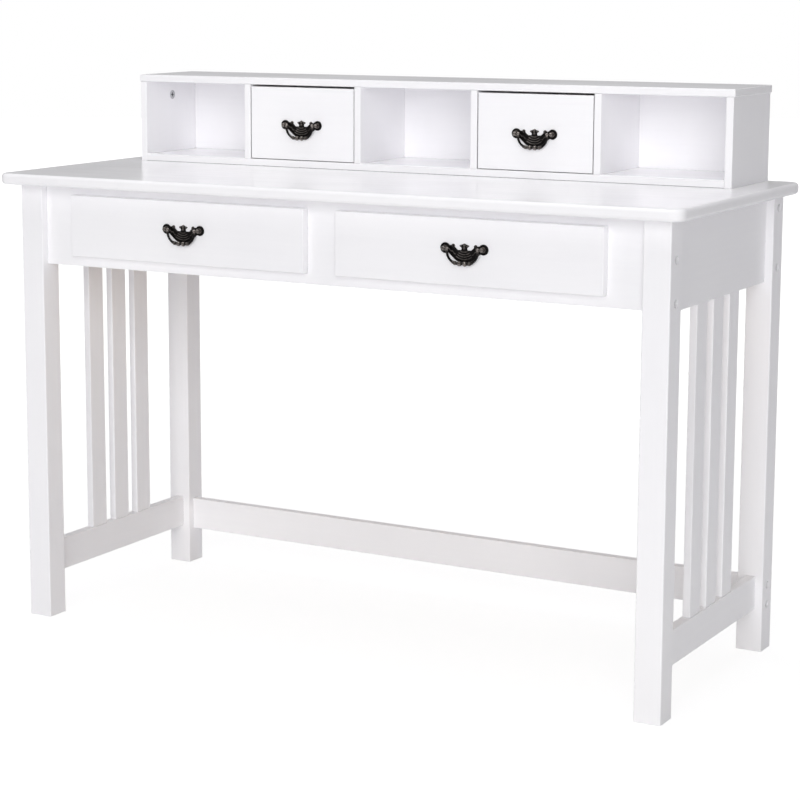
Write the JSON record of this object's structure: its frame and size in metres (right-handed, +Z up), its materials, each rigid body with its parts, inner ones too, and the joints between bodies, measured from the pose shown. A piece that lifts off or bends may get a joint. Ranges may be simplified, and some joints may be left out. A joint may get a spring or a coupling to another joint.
{
  "type": "student desk with hutch",
  "caption": "White painted student desk with slatted end frames, apron drawers and a low hutch of open bays and inset drawers, all drawers with dark bail pulls.",
  "frame": {"origin": "on the floor, under the middle of the worktop", "axes": "+Z up, +X to the user's right, the front with the drawers towards -Y"},
  "size_m": [1.2, 0.5, 0.903],
  "materials": {
    "white_paint": "satin white paint",
    "bare_wood": "sanded, unpainted",
    "dark_bronze": "dark antique bronze, semi-gloss",
    "zinc_fittings": "zinc plated"
  },
  "bodies": {
    "frame": {"worktop": "white_paint", "front_left_leg": "white_paint", "front_right_leg": "white_paint", "rear_left_leg": "white_paint", "rear_right_leg": "white_paint", "left_side_apron": "white_paint", "right_side_apron": "white_paint", "left_lower_rail": "white_paint", "right_lower_rail": "white_paint", "left_slats": "white_paint", "right_slats": "white_paint", "front_apron": "white_paint", "rear_apron": "white_paint", "rear_stretcher": "white_paint", "left_drawer_runners": "bare_wood", "right_drawer_runners": "bare_wood", "frame_bolts": "zinc_fittings", "barrel_nuts": "zinc_fittings", "hutch_top": "white_paint", "hutch_bottom": "white_paint", "hutch_left_side": "white_paint", "hutch_right_side": "white_paint", "hutch_back": "white_paint", "hutch_outer_left_divider": "white_paint", "hutch_inner_left_divider": "white_paint", "hutch_inner_right_divider": "white_paint", "hutch_outer_right_divider": "white_paint", "hutch_cam_locks": "zinc_fittings"},
    "desk_left_drawer": {"desk_left_drawer_front": "white_paint", "desk_left_drawer_left_side": "bare_wood", "desk_left_drawer_right_side": "bare_wood", "desk_left_drawer_back": "bare_wood", "desk_left_drawer_bottom": "bare_wood", "desk_left_pull_plate": "dark_bronze", "desk_left_pull_posts": "dark_bronze"},
    "desk_left_bail": {"desk_left_pull_bail": "dark_bronze"},
    "desk_right_drawer": {"desk_right_drawer_front": "white_paint", "desk_right_drawer_left_side": "bare_wood", "desk_right_drawer_right_side": "bare_wood", "desk_right_drawer_back": "bare_wood", "desk_right_drawer_bottom": "bare_wood", "desk_right_pull_plate": "dark_bronze", "desk_right_pull_posts": "dark_bronze"},
    "desk_right_bail": {"desk_right_pull_bail": "dark_bronze"},
    "hutch_left_drawer": {"hutch_left_drawer_front": "white_paint", "hutch_left_drawer_left_side": "bare_wood", "hutch_left_drawer_right_side": "bare_wood", "hutch_left_drawer_back": "bare_wood", "hutch_left_drawer_bottom": "bare_wood", "hutch_left_pull_plate": "dark_bronze", "hutch_left_pull_posts": "dark_bronze"},
    "hutch_left_bail": {"hutch_left_pull_bail": "dark_bronze"},
    "hutch_right_drawer": {"hutch_right_drawer_front": "white_paint", "hutch_right_drawer_left_side": "bare_wood", "hutch_right_drawer_right_side": "bare_wood", "hutch_right_drawer_back": "bare_wood", "hutch_right_drawer_bottom": "bare_wood", "hutch_right_pull_plate": "dark_bronze", "hutch_right_pull_posts": "dark_bronze"},
    "hutch_right_bail": {"hutch_right_pull_bail": "dark_bronze"}
  },
  "joints": [
    {"name": "desk_left_drawer_slide", "type": "slide", "parent": "frame", "child": "desk_left_drawer", "axis": [0, -1, 0], "range_m": [0, 0.25]},
    {"name": "desk_left_bail_swing", "type": "hinge", "parent": "desk_left_drawer", "child": "desk_left_bail", "pos_m": [-0.25, -0.2275, 0.6755], "axis": [-1, 0, 0], "range_deg": [0, 90]},
    {"name": "desk_right_drawer_slide", "type": "slide", "parent": "frame", "child": "desk_right_drawer", "axis": [0, -1, 0], "range_m": [0, 0.25]},
    {"name": "desk_right_bail_swing", "type": "hinge", "parent": "desk_right_drawer", "child": "desk_right_bail", "pos_m": [0.25, -0.2275, 0.6755], "axis": [-1, 0, 0], "range_deg": [0, 90]},
    {"name": "hutch_left_drawer_slide", "type": "slide", "parent": "frame", "child": "hutch_left_drawer", "axis": [0, -1, 0], "range_m": [0, 0.1]},
    {"name": "hutch_left_bail_swing", "type": "hinge", "parent": "hutch_left_drawer", "child": "hutch_left_bail", "pos_m": [-0.216, 0.0775, 0.82475], "axis": [-1, 0, 0], "range_deg": [0, 90]},
    {"name": "hutch_right_drawer_slide", "type": "slide", "parent": "frame", "child": "hutch_right_drawer", "axis": [0, -1, 0], "range_m": [0, 0.1]},
    {"name": "hutch_right_bail_swing", "type": "hinge", "parent": "hutch_right_drawer", "child": "hutch_right_bail", "pos_m": [0.216, 0.0775, 0.82475], "axis": [-1, 0, 0], "range_deg": [0, 90]}
  ]
}
